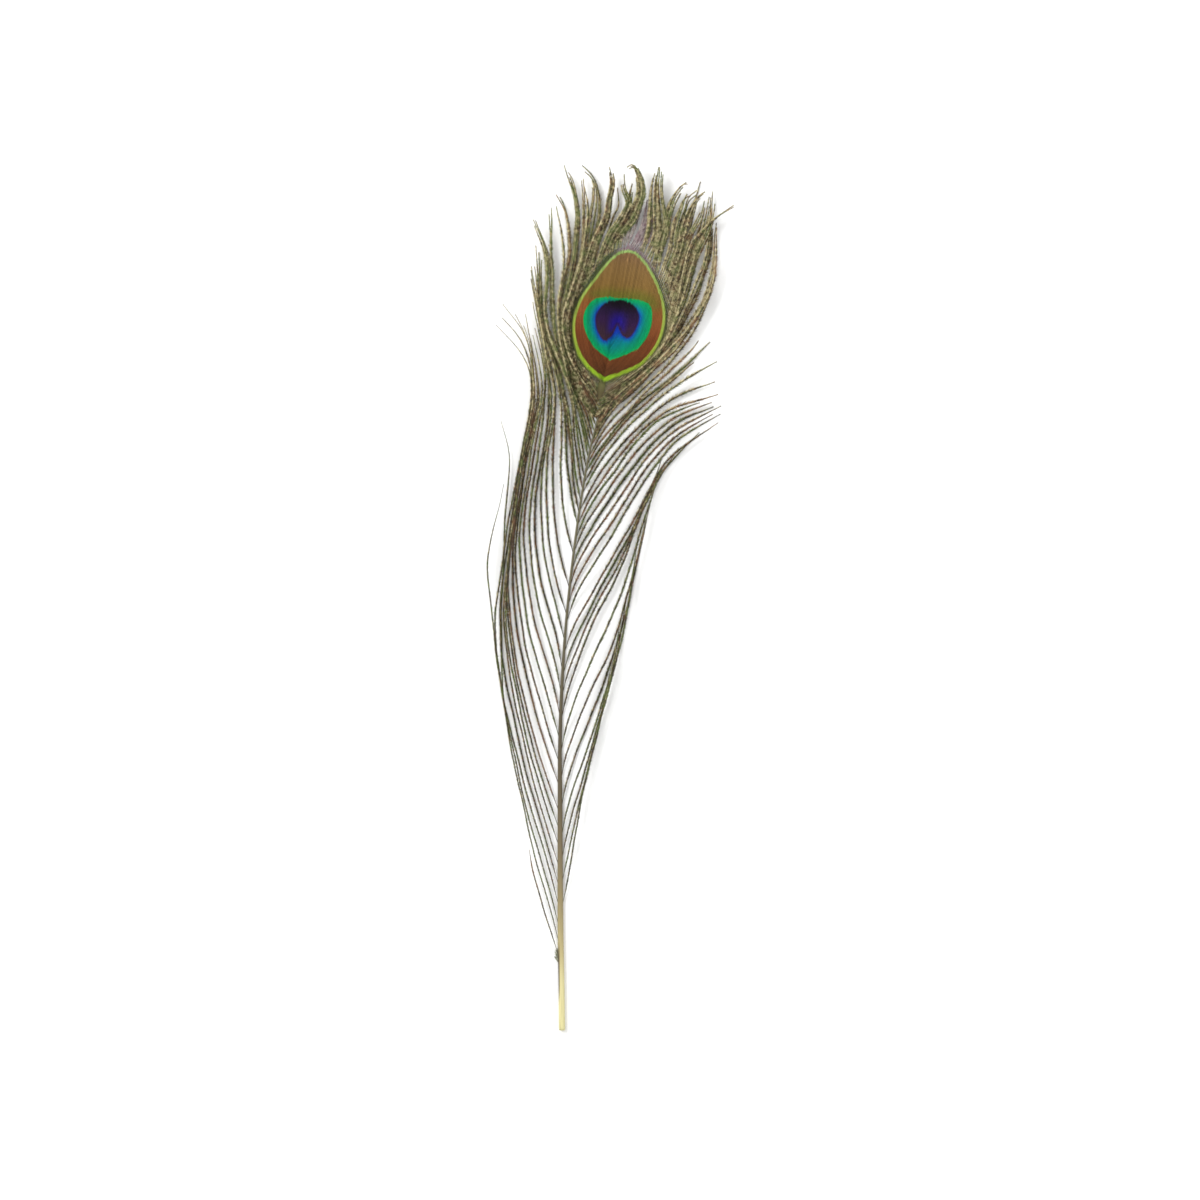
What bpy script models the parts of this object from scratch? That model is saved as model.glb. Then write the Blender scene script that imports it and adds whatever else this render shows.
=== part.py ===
"""A peacock's tail feather, 30 cm long, lying flat with its bright side up.

The feather branches from one stiff shaft. Its loose barbs are separate solids
that start beside the shaft, and the barbs that hook together round the end of
the shaft are one thin plate, the eye. Lengths below are in millimetres, with y
measured up the feather from the quill's cut end, and every object is built in
metres with +Z up, its origin on the shaft's flat underside.
"""

import math

import bpy
from mathutils import Vector

MM = 0.001

# The shaft.
REST_POINT = 12.0  # from the quill's cut end to the origin
SHAFT_ROUTE = (
    (0.0, 0.0), (-0.2, 16.0), (-0.5, 32.0), (-0.7, 75.0), (-0.7, 100.0), (0.0, 120.0), (1.5, 142.0),
    (4.0, 165.0), (6.5, 183.0), (9.5, 200.0), (12.2, 211.0), (14.6, 224.0), (16.6, 231.0), (18.8, 242.0),
)
SHAFT_WIDTHS = ((0.0, 2.1), (40.0, 2.0), (75.0, 1.7), (100.0, 1.3), (140.0, 0.9), (200.0, 0.7), (242.0, 0.5))
SHAFT_HEIGHT_TO_WIDTH = 0.85
SHAFT_POINTS = 34
SHAFT_SIDES = 8

# The eye: a pointed egg outline, narrow end up the feather. A fullness is the pair
# of powers that round its shoulders and blunt its point.
EYE_CENTRE = (19.8, 246.4)
EYE_TILT = math.radians(10.4)
EYE_HALF_WIDTH = 15.6
EYE_WIDEST = -2.0
EYE_TOP = 22.8
EYE_BOTTOM = -22.9
UPPER_FULLNESS = (1.8, 0.65)
LOWER_FULLNESS = (2.0, 0.8)
EYE_UNDERSIDE = 1.0
EYE_THICKNESS = 0.5
EYE_POINTS_A_SIDE = 18

# The loose barbs.
BARB_POINTS = 12
BARB_BEVEL_RESOLUTION = 1
BARB_RADIUS = 0.34
BARB_ROOT_SHARE = 0.5
BARB_TIP_SHARE = 0.4
FULL_FROM = 0.2
FULL_TO = 0.7
ROOT_GAP = 0.3
ROOT_UP_SHAFT = 0.6
SETTLED_FROM = 0.3
LAYER_HEIGHT = 1.0
LAYER_ORDER = (0, 2, 4, 1, 3)

# Where each loose barb leaves the shaft.
LEFT_ROOTS = (
    25, 30, 36, 43, 50, 57, 64, 70, 76, 85, 93, 101, 109, 117, 125, 135, 144, 153, 165, 175,
    183, 191, 198, 203, 207, 211, 215, 219,
)
RIGHT_ROOTS = (
    43, 51, 59, 67, 77, 87, 97, 108, 117, 124, 131, 142, 148, 154, 160, 166, 175, 180, 186, 193,
    199, 206, 211, 215, 219,
)

# Guide barbs: where one leaves the shaft, then the points that it passes.
LEFT_GUIDES = (
    (25, ((-3.5, 33.0), (-6.5, 43.0), (-10.0, 54.5), (-12.0, 65.5))),
    (30, ((-3.0, 38.0), (-9.5, 61.0), (-18.5, 103.0), (-24.0, 142.0), (-25.5, 162.5), (-20.5, 186.5))),
    (43, ((-4.5, 56.0), (-15.5, 94.5), (-23.0, 135.0), (-20.5, 162.5), (-15.5, 192.0), (-10.5, 220.5),
          (-13.0, 232.0), (-23.5, 244.5))),
    (57, ((-4.5, 67.5), (-13.0, 98.5), (-20.0, 140.0), (-17.5, 171.0), (-13.0, 202.0), (-10.0, 222.0),
          (-13.0, 240.5), (-19.5, 249.5))),
    (76, ((-4.5, 85.0), (-13.0, 114.0), (-18.5, 150.0), (-15.0, 186.5), (-9.5, 216.0), (-10.0, 231.0),
          (-12.5, 246.0))),
    (93, ((-4.5, 103.0), (-13.5, 137.5), (-16.0, 166.0), (-12.5, 195.5), (-8.0, 219.0), (-11.0, 240.0))),
    (109, ((-2.5, 117.0), (-11.0, 148.5), (-13.0, 176.5), (-8.5, 205.5), (-6.0, 225.0), (-10.0, 246.0))),
    (125, ((-2.0, 136.0), (-8.5, 161.0), (-9.0, 185.0), (-4.5, 214.5), (-5.5, 231.0), (-10.5, 258.0))),
    (144, ((-1.5, 153.5), (-5.0, 174.0), (-5.0, 197.0), (-2.5, 220.0), (-6.0, 236.5), (-10.5, 264.0))),
    (165, ((1.5, 174.0), (-0.5, 191.0), (0.0, 212.5), (-2.0, 226.0), (-7.5, 247.0), (-9.0, 272.0))),
    (183, ((4.5, 193.5), (2.0, 214.5), (-0.5, 225.5), (-6.5, 244.5), (-7.0, 267.0))),
    (191, ((6.0, 200.5), (3.5, 219.5), (-0.5, 230.0), (-5.5, 246.0), (-5.5, 268.0), (-10.0, 280.5))),
    (199, ((7.5, 207.5), (3.0, 224.5), (-2.5, 243.0), (-3.0, 265.5), (-4.0, 285.0))),
    (203, ((7.5, 212.0), (1.5, 228.0), (-2.0, 247.0), (0.0, 271.5), (-2.5, 288.5))),
    (207, ((8.5, 215.0), (2.0, 230.0), (-1.0, 247.0), (2.5, 269.0), (1.5, 282.5), (-3.0, 291.5))),
    (211, ((9.5, 217.0), (2.5, 231.0), (-0.5, 244.0), (4.0, 266.0), (5.0, 284.0), (1.0, 298.0))),
    (215, ((10.5, 219.5), (3.0, 232.0), (0.5, 244.0), (6.5, 266.0), (9.0, 283.0), (7.0, 294.5))),
    (219, ((11.0, 223.5), (4.5, 232.0), (2.0, 243.0), (9.5, 267.5), (13.0, 282.0), (11.0, 294.0),
           (6.5, 299.0))),
)
RIGHT_GUIDES = (
    (43, ((2.0, 52.0), (6.0, 76.5), (11.0, 98.0), (18.0, 129.5))),
    (67, ((1.5, 75.5), (9.0, 98.5), (15.5, 118.0), (22.0, 141.5), (25.5, 166.5))),
    (87, ((1.5, 95.5), (9.0, 115.0), (18.0, 135.0), (25.0, 159.5), (31.5, 185.0))),
    (108, ((2.0, 117.0), (9.0, 137.0), (18.5, 156.0), (27.5, 179.0), (35.5, 200.5))),
    (131, ((4.0, 139.5), (15.0, 159.0), (27.0, 180.5), (37.5, 198.0), (52.0, 208.5))),
    (154, ((5.5, 161.5), (17.5, 180.5), (30.5, 199.0), (41.0, 208.5), (53.0, 214.5))),
    (175, ((10.5, 185.0), (23.0, 202.0), (36.5, 214.0), (53.0, 219.0))),
    (193, ((12.5, 200.0), (25.0, 215.0), (39.0, 226.5), (50.0, 236.5))),
    (206, ((17.5, 217.0), (32.0, 230.0), (44.0, 242.5), (52.0, 258.0), (53.5, 277.0))),
    (211, ((17.5, 218.5), (32.5, 232.0), (43.0, 248.0), (50.0, 265.5), (52.0, 288.0))),
    (215, ((18.0, 221.5), (33.5, 234.0), (40.0, 248.0), (46.5, 269.0), (51.5, 291.0))),
    (219, ((20.0, 224.0), (34.0, 236.5), (38.0, 251.0), (42.0, 272.0), (47.5, 292.5))),
)


def clear_scene():
    for old in list(bpy.data.objects):
        bpy.data.objects.remove(old, do_unlink=True)


def make_material(name, colour, roughness):
    material = bpy.data.materials.new(name)
    material.use_nodes = True
    shader = material.node_tree.nodes["Principled BSDF"]
    shader.inputs["Base Color"].default_value = (*colour, 1.0)
    shader.inputs["Roughness"].default_value = roughness
    shader.inputs["Metallic"].default_value = 0.0
    return material


def make_collection(name):
    collection = bpy.data.collections.new(name)
    bpy.context.scene.collection.children.link(collection)
    return collection


def place(x, y, z):
    """A point in metres, from millimetres across, up the feather and above the surface."""
    return Vector((x, y - REST_POINT, z)) * MM


def smooth_step(share):
    share = min(max(share, 0.0), 1.0)
    return share * share * (3.0 - 2.0 * share)


def between(table, where):
    """Read a value from (place, value) pairs, on the straight line between the nearest two."""
    for (start, low), (end, high) in zip(table, table[1:]):
        if where <= end:
            share = max(where - start, 0.0) / (end - start)
            return low + (high - low) * share
    return table[-1][1]


def smooth_route(points, steps=12):
    """A centripetal Catmull-Rom curve through the points, which never loops or overshoots."""
    points = [Vector(point) for point in points]
    points = [2 * points[0] - points[1], *points, 2 * points[-1] - points[-2]]
    route = []
    for p0, p1, p2, p3 in zip(points, points[1:], points[2:], points[3:]):
        t1 = (p1 - p0).length ** 0.5
        t2 = t1 + (p2 - p1).length ** 0.5
        t3 = t2 + (p3 - p2).length ** 0.5
        for step in range(steps):
            t = t1 + (t2 - t1) * step / steps
            a1 = p0.lerp(p1, t / t1)
            a2 = p1.lerp(p2, (t - t1) / (t2 - t1))
            a3 = p2.lerp(p3, (t - t2) / (t3 - t2))
            b1 = a1.lerp(a2, t / t2)
            b2 = a2.lerp(a3, (t - t1) / (t3 - t1))
            route.append(b1.lerp(b2, (t - t1) / (t2 - t1)))
    route.append(points[-2])
    return route


def evenly_spaced(route, count):
    """The route's points again, the same distance apart along it."""
    lengths = [0.0]
    for start, end in zip(route, route[1:]):
        lengths.append(lengths[-1] + (end - start).length)
    spaced = []
    index = 0
    for step in range(count):
        wanted = lengths[-1] * step / (count - 1)
        while index < len(route) - 2 and lengths[index + 1] < wanted:
            index += 1
        share = (wanted - lengths[index]) / (lengths[index + 1] - lengths[index])
        spaced.append(route[index].lerp(route[index + 1], share))
    return spaced


SHAFT_LINE = smooth_route(SHAFT_ROUTE)


def shaft_side(distance):
    """The middle of the shaft at a distance up the feather."""
    return Vector((between([(y, x) for x, y in SHAFT_LINE], distance), distance))


def guide_route(guide, side):
    """A guide's whole route, from just beside the shaft to its tip."""
    distance, points = guide
    stand_off = between(SHAFT_WIDTHS, distance) / 2 + ROOT_GAP + BARB_RADIUS * BARB_ROOT_SHARE
    root = shaft_side(distance) + Vector((side * stand_off, 0.0))
    return evenly_spaced(smooth_route((root, *points)), BARB_POINTS)


def barb_route(distance, guides, side):
    """A barb's route, blended from the guides on either side of its root."""
    for lower, upper in zip(guides, guides[1:]):
        if lower[0] <= distance <= upper[0]:
            share = (distance - lower[0]) / (upper[0] - lower[0])
            below = guide_route(lower, side)
            above = guide_route(upper, side)
            return [a.lerp(b, share) for a, b in zip(below, above)]
    raise ValueError(f"no guides on either side of {distance}")


def make_curve_object(name, points, radii, material, collection):
    """A curve object through points in metres, with its radius given at each."""
    curve = bpy.data.curves.new(name, "CURVE")
    curve.dimensions = "3D"
    curve.twist_mode = "Z_UP"
    curve.use_fill_caps = True
    spline = curve.splines.new("POLY")
    spline.points.add(len(points) - 1)
    for control, point, radius in zip(spline.points, points, radii):
        control.co = (*point, 1.0)
        control.radius = radius
    curve.materials.append(material)
    made = bpy.data.objects.new(name, curve)
    collection.objects.link(made)
    return made


def make_shaft_profile(collection):
    """The shaft's cross-section for a half width of 1: flat below, half an oval above."""
    curve = bpy.data.curves.new("shaft_profile", "CURVE")
    curve.dimensions = "2D"
    spline = curve.splines.new("POLY")
    spline.points.add(SHAFT_SIDES - 1)
    for index, control in enumerate(spline.points):
        angle = math.pi * index / (SHAFT_SIDES - 1)
        height = 2 * SHAFT_HEIGHT_TO_WIDTH * math.sin(angle)
        control.co = (-math.cos(angle), height, 0.0, 1.0)
    spline.use_cyclic_u = True
    profile = bpy.data.objects.new("shaft_profile", curve)
    profile.hide_render = True
    profile.display_type = "WIRE"
    collection.objects.link(profile)
    return profile


def make_shaft(material, parts, cutters):
    line = evenly_spaced(SHAFT_LINE, SHAFT_POINTS)
    points = [place(x, y, 0.0) for x, y in line]
    half_widths = [between(SHAFT_WIDTHS, y) / 2 * MM for x, y in line]
    shaft = make_curve_object("shaft", points, half_widths, material, parts)
    shaft.data.bevel_mode = "OBJECT"
    shaft.data.bevel_object = make_shaft_profile(cutters)
    return shaft


def eye_half_width(height):
    """Half the eye's width at a height from its centre, along its own axis."""
    if height > EYE_WIDEST:
        share = (height - EYE_WIDEST) / (EYE_TOP - EYE_WIDEST)
        shoulder, corner = UPPER_FULLNESS
    else:
        share = (EYE_WIDEST - height) / (EYE_WIDEST - EYE_BOTTOM)
        shoulder, corner = LOWER_FULLNESS
    return EYE_HALF_WIDTH * max(1.0 - share ** shoulder, 0.0) ** corner


def eye_outline():
    """The eye's outline in its own frame, up its right side and down its left."""
    right = []
    for index in range(EYE_POINTS_A_SIDE + 1):
        turn = math.pi * index / EYE_POINTS_A_SIDE
        height = EYE_BOTTOM + (EYE_TOP - EYE_BOTTOM) * (1.0 - math.cos(turn)) / 2
        right.append((eye_half_width(height), height))
    left = [(-x, y) for x, y in reversed(right[1:-1])]
    return right + left


def make_eye(material, parts):
    """The plate of hooked barbs: a flat outline, filled and given its thickness."""
    curve = bpy.data.curves.new("eye", "CURVE")
    curve.dimensions = "2D"
    curve.fill_mode = "BOTH"
    curve.extrude = EYE_THICKNESS / 2 * MM
    outline = eye_outline()
    spline = curve.splines.new("POLY")
    spline.points.add(len(outline) - 1)
    for control, (x, y) in zip(spline.points, outline):
        control.co = (x * MM, y * MM, 0.0, 1.0)
    spline.use_cyclic_u = True
    curve.materials.append(material)
    eye = bpy.data.objects.new("eye", curve)
    eye.location = place(*EYE_CENTRE, EYE_UNDERSIDE + EYE_THICKNESS / 2)
    eye.rotation_euler = (0.0, 0.0, -EYE_TILT)
    parts.objects.link(eye)
    return eye


def barb_radius(share):
    """A barb's radius: full along its middle, finer at its root and its tip."""
    thickened = BARB_ROOT_SHARE + (1.0 - BARB_ROOT_SHARE) * smooth_step(share / FULL_FROM)
    thinned = 1.0 - (1.0 - BARB_TIP_SHARE) * smooth_step((share - FULL_TO) / (1.0 - FULL_TO))
    return BARB_RADIUS * thickened * thinned


def make_barb(name, route, root_height, layer, material, parts):
    """One loose barb: a fine tube that leaves the shaft and settles at its own layer."""
    points = []
    radii = []
    for index, (x, y) in enumerate(route):
        share = index / (len(route) - 1)
        settled = smooth_step(share / SETTLED_FROM)
        height = (1.0 - settled) * root_height + settled * (BARB_RADIUS + layer * LAYER_HEIGHT)
        points.append(place(x, y, height))
        radii.append(barb_radius(share) / BARB_RADIUS)
    barb = make_curve_object(name, points, radii, material, parts)
    barb.data.bevel_depth = BARB_RADIUS * MM
    barb.data.bevel_resolution = BARB_BEVEL_RESOLUTION
    return barb


def make_barbs(label, roots, guides, side, material, parts):
    for number, distance in enumerate(roots, start=1):
        route = barb_route(distance, guides, side)
        shaft_height = between(SHAFT_WIDTHS, distance) * SHAFT_HEIGHT_TO_WIDTH
        root_height = max(shaft_height * ROOT_UP_SHAFT, BARB_RADIUS)
        layer = LAYER_ORDER[number % len(LAYER_ORDER)]
        make_barb(f"barb_{label}_{number:02d}", route, root_height, layer, material, parts)


def main():
    clear_scene()
    parts = make_collection("peacock_feather")
    cutters = make_collection("profiles")
    horn = make_material("shaft_horn", (0.42, 0.36, 0.22), 0.45)
    web = make_material("eye_web", (0.05, 0.25, 0.20), 0.45)
    herl = make_material("barb_herl", (0.10, 0.09, 0.045), 0.7)
    make_shaft(horn, parts, cutters)
    make_eye(web, parts)
    make_barbs("left", LEFT_ROOTS, LEFT_GUIDES, -1, herl, parts)
    make_barbs("right", RIGHT_ROOTS, RIGHT_GUIDES, 1, herl, parts)


main()
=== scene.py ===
"""The looks of a peacock's tail feather that lies flat with its bright side up.

The shaft is horn. Each loose barb, or herl, is a fine stem with two rows of
barbules that Geometry Nodes grow along it. Round the end of the shaft the barbs
lie edge to edge and make the eye, and above it they part into a fringe of locks.
Lengths are in millimetres, with y measured up the feather from the quill's cut
end; place() turns a point into metres in the frame. A side is -1 for the left and
1 for the right.
"""

import math
import random

import bpy
import numpy as np
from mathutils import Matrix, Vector


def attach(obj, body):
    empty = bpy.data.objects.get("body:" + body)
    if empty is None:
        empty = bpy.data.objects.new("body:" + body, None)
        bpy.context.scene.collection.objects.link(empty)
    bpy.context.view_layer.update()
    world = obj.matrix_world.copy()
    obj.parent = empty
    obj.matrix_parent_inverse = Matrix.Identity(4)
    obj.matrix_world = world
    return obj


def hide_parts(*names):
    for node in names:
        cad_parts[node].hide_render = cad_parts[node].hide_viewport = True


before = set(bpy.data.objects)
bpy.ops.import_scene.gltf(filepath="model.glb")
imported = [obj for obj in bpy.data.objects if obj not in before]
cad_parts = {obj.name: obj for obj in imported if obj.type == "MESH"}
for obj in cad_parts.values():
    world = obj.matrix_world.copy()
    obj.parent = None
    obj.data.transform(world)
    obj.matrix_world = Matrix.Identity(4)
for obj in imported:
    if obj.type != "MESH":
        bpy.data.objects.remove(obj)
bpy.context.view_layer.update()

MM = 0.001
REST_POINT = 12.0  # from the quill's cut end to the origin
SEED = 7

# The shaft.
SHAFT_ROUTE = (
    (0.0, 0.0), (-0.2, 16.0), (-0.5, 32.0), (-0.7, 75.0), (-0.7, 100.0), (0.0, 120.0), (1.5, 142.0),
    (4.0, 165.0), (6.5, 183.0), (9.5, 200.0), (12.2, 211.0), (14.6, 224.0), (16.6, 231.0), (18.8, 242.0),
)
SHAFT_WIDTHS = (
    (0.0, 2.1), (40.0, 2.0), (75.0, 1.7), (100.0, 1.3), (140.0, 0.9), (200.0, 0.7), (242.0, 0.5),
)
SHAFT_HEIGHT_TO_WIDTH = 0.85
SHAFT_RINGS = 220
SHAFT_SIDES = 20
SHAFT_SWELL = 0.8  # under 1, the shaft is widest a little above its middle
SHAFT_WOBBLE = 0.012
GROOVE_DEPTH = 0.05  # this and the next two are shares of half the shaft's width
GROOVE_WIDTH = 0.25
HOLLOW_WIDTH = 0.55
HOLLOW_LIP = 0.05
HOLLOW_DEPTH = 4.0

# The loose barbs. A table of pairs gives a value by where a barb leaves the shaft.
ROUTE_POINTS = 60
BARB_RADIUS = 0.34
ROOT_UP_SHAFT = 0.6
SETTLED_FROM = 0.3
LAYER_HEIGHT = 1.0
LAYER_ORDER = (0, 2, 4, 1, 3)
BARE_LENGTH = ((20.0, 3.0), (140.0, 2.2), (190.0, 1.0), (220.0, 0.5))
STEM_RADIUS = ((20.0, 0.09), (90.0, 0.13))
STEM_TAPER = 0.65
WAVE_LENGTHS = (34.0, 15.0)
WAVES_FROM = 0.25
LOOSE_SWAY = 0.14
LONGER_BY = (-4.5, 2.5)  # how far past the end of its route a barb goes

# How long the barbules are, as a share of full length: by where the barb leaves the shaft,
# then from the end of its bare foot up to its middle, and down again to its worn tip.
FULLNESS = ((20.0, 0.46), (40.0, 0.7), (100.0, 0.88), (140.0, 0.98), (180.0, 1.14), (220.0, 1.22))
FOOT_FULLNESS = 0.72
FULL_FROM = 0.5
WORN_FROM = 0.8
TIP_WEAR = 0.72
LEAST_FULLNESS = 0.12
BARBULES_START = 0.4  # this and the next are in bare lengths
BARBULES_GROW_OVER = 2.2

# The wisp of down on the left of the quill.
TUFT_BARBS = 7
TUFT_POINTS = 14
TUFT_FOOT = (23.0, 26.0)
TUFT_LEAN = (0.4, 1.5)
TUFT_HEIGHT = (2.0, 3.6)
TUFT_MIDDLE = (0.35, 0.4)  # shares of the lean and the height
TUFT_Z = 1.0
TUFT_RISE = (-0.6, 0.5)

LEFT_ROOTS = (
    25, 30, 36, 43, 50, 57, 64, 70, 76, 85, 93, 101, 109, 117, 125, 135, 144, 153, 165, 175,
    183, 191, 198, 203, 207, 211, 215, 219,
)
RIGHT_ROOTS = (
    43, 51, 59, 67, 77, 87, 97, 108, 117, 124, 131, 142, 148, 154, 160, 166, 175, 180, 186, 193,
    199, 206, 211, 215, 219,
)

# Guide barbs: where one leaves the shaft, then the points that it passes.
LEFT_GUIDES = (
    (25, ((-3.5, 33.0), (-6.5, 43.0), (-10.0, 54.5), (-12.0, 65.5))),
    (30, ((-3.0, 38.0), (-9.5, 61.0), (-18.5, 103.0), (-24.0, 142.0), (-25.5, 162.5), (-20.5, 186.5))),
    (43, ((-4.5, 56.0), (-15.5, 94.5), (-23.0, 135.0), (-20.5, 162.5), (-15.5, 192.0), (-10.5, 220.5),
          (-13.0, 232.0), (-23.5, 244.5))),
    (57, ((-4.5, 67.5), (-13.0, 98.5), (-20.0, 140.0), (-17.5, 171.0), (-13.0, 202.0), (-10.0, 222.0),
          (-13.0, 240.5), (-19.5, 249.5))),
    (76, ((-4.5, 85.0), (-13.0, 114.0), (-18.5, 150.0), (-15.0, 186.5), (-9.5, 216.0), (-10.0, 231.0),
          (-12.5, 246.0))),
    (93, ((-4.5, 103.0), (-13.5, 137.5), (-16.0, 166.0), (-12.5, 195.5), (-8.0, 219.0), (-11.0, 240.0))),
    (109, ((-2.5, 117.0), (-11.0, 148.5), (-13.0, 176.5), (-8.5, 205.5), (-6.0, 225.0), (-10.0, 246.0))),
    (125, ((-2.0, 136.0), (-8.5, 161.0), (-9.0, 185.0), (-4.5, 214.5), (-5.5, 231.0), (-10.5, 258.0))),
    (144, ((-1.5, 153.5), (-5.0, 174.0), (-5.0, 197.0), (-2.5, 220.0), (-6.0, 236.5), (-10.5, 264.0))),
    (165, ((1.5, 174.0), (-0.5, 191.0), (0.0, 212.5), (-2.0, 226.0), (-7.5, 247.0), (-9.0, 272.0))),
    (183, ((4.5, 193.5), (2.0, 214.5), (-0.5, 225.5), (-6.5, 244.5), (-7.0, 267.0))),
    (191, ((6.0, 200.5), (3.5, 219.5), (-0.5, 230.0), (-5.5, 246.0), (-5.5, 268.0), (-10.0, 280.5))),
    (199, ((7.5, 207.5), (3.0, 224.5), (-2.8, 243.0), (-3.6, 265.5), (-4.0, 285.0))),
    (203, ((7.5, 212.0), (1.5, 228.0), (-1.2, 247.0), (0.6, 268.0), (-2.5, 288.5))),
    (207, ((8.5, 215.0), (2.0, 230.0), (-1.0, 247.0), (2.5, 269.0), (1.5, 282.5), (-3.0, 291.5))),
    (211, ((9.5, 217.0), (2.5, 231.0), (-0.5, 244.0), (4.0, 266.0), (5.0, 284.0), (1.0, 298.0))),
    (215, ((10.5, 219.5), (3.0, 232.0), (0.5, 244.0), (6.5, 266.0), (9.0, 283.0), (7.0, 294.5))),
    (219, ((11.0, 223.5), (4.5, 232.0), (2.0, 243.0), (9.5, 267.5), (13.0, 282.0), (11.0, 294.0),
           (6.5, 299.0))),
)
RIGHT_GUIDES = (
    (43, ((2.0, 52.0), (6.0, 76.5), (11.0, 98.0), (18.0, 129.5))),
    (67, ((1.5, 75.5), (9.0, 98.5), (15.5, 118.0), (22.0, 141.5), (25.5, 166.5))),
    (87, ((1.5, 95.5), (9.0, 115.0), (18.0, 135.0), (25.0, 159.5), (31.5, 185.0))),
    (108, ((2.0, 117.0), (9.0, 137.0), (18.5, 156.0), (27.5, 179.0), (35.5, 200.5))),
    (131, ((4.0, 139.5), (15.0, 159.0), (27.0, 180.5), (37.5, 198.0), (52.0, 208.5))),
    (154, ((5.5, 161.5), (17.5, 180.5), (30.5, 199.0), (41.0, 208.5), (53.0, 214.5))),
    (175, ((10.5, 185.0), (23.0, 202.0), (36.5, 214.0), (53.0, 219.0))),
    (193, ((12.5, 200.0), (25.0, 215.0), (39.0, 226.5), (50.0, 236.5))),
    (206, ((17.5, 217.0), (32.0, 230.0), (44.0, 242.5), (52.0, 258.0), (53.5, 277.0))),
    (211, ((17.5, 218.5), (32.5, 232.0), (43.0, 248.0), (50.0, 265.5), (52.0, 288.0))),
    (215, ((18.0, 221.5), (33.5, 234.0), (40.0, 248.0), (46.5, 269.0), (51.5, 291.0))),
    (219, ((20.0, 224.0), (34.0, 236.5), (38.0, 251.0), (42.0, 272.0), (47.5, 292.5))),
)

# Barbs between those, near the eye, where they grow closer than one solid for each.
LEFT_EXTRA_ROOTS = (179, 187, 194.5, 200.5, 205, 209, 213, 216.5, 218)
RIGHT_EXTRA_ROOTS = (170.5, 189.5, 196, 202.5, 204.3, 208, 209.5, 212.3, 213.7, 216.3, 217.7)
GATHERED_BY = 0.55  # the share of its route by which such a barb has swung over
EXTRA_GATHER = {-1: 0.8, 1: 0.3}
EXTRA_SWAY = 0.3
EXTRA_KEPT = (0.86, 1.0)  # the share of its route that such a barb keeps
EXTRA_LAYERS = (0.0, 3.6)

# The eye, in its own frame: u to the right of its axis, v up it.
EYE_CENTRE = (19.0, 246.6)
EYE_TILT = math.radians(10.4)
RING_RIGHT = (
    (-0.1, 23.1), (2.6, 22.5), (6.0, 20.2), (9.8, 16.0), (14.2, 9.0), (16.3, 1.5), (15.6, -6.8),
    (11.6, -14.6), (5.2, -19.4), (-0.4, -22.7),
)
RING_LEFT = (
    (-0.1, 23.1), (-2.8, 22.0), (-6.0, 18.6), (-9.9, 11.4), (-13.3, 4.0), (-14.5, -3.2), (-13.4, -9.6),
    (-10.3, -15.8), (-5.6, -20.1), (-0.4, -22.7),
)
TEAL_RIGHT = (
    (0.2, 6.4), (6.0, 6.9), (10.4, 5.8), (12.2, 1.0), (11.4, -5.6), (8.8, -10.0), (5.0, -12.9),
    (0.4, -15.5),
)
TEAL_LEFT = (
    (0.2, 6.4), (-5.0, 5.8), (-9.0, 4.2), (-11.4, -1.0), (-10.4, -6.2), (-6.4, -11.6), (0.4, -15.5),
)
HEART_RIGHT = ((0.0, 5.9), (4.6, 5.0), (7.5, 1.4), (7.1, -3.4), (5.2, -6.8), (3.2, -6.4), (0.7, -3.2))
HEART_LEFT = ((0.0, 5.9), (-4.6, 3.9), (-7.2, -0.8), (-5.8, -6.2), (-2.6, -9.2), (-0.8, -7.4), (0.7, -3.2))

# How the eye's barbs flow: out from the shaft's end, then up beside the axis. A barb
# that starts at share 0 leaves the very end of the shaft, and one at share 1 runs
# about where the ring does. A table of pairs gives a value by height up the eye.
SHAFT_END_V = -5.0
SHARE_ONE_ROOT_V = -30.0
FLOW_WIDTH = {-1: 17.0, 1: 18.6}
FLOW_NARROWING = {
    -1: ((0.0, 1.0), (20.0, 0.84), (35.0, 0.62), (60.0, 0.5)),
    1: ((0.0, 1.0), (20.0, 0.92), (35.0, 0.84), (60.0, 0.8)),
}
FLOW_BEND = (8.5, 6.5)
AXIS_SHIFT = ((-48.0, -1.8), (-30.0, -1.1), (-4.0, -0.2), (30.0, 0.0))

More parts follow.
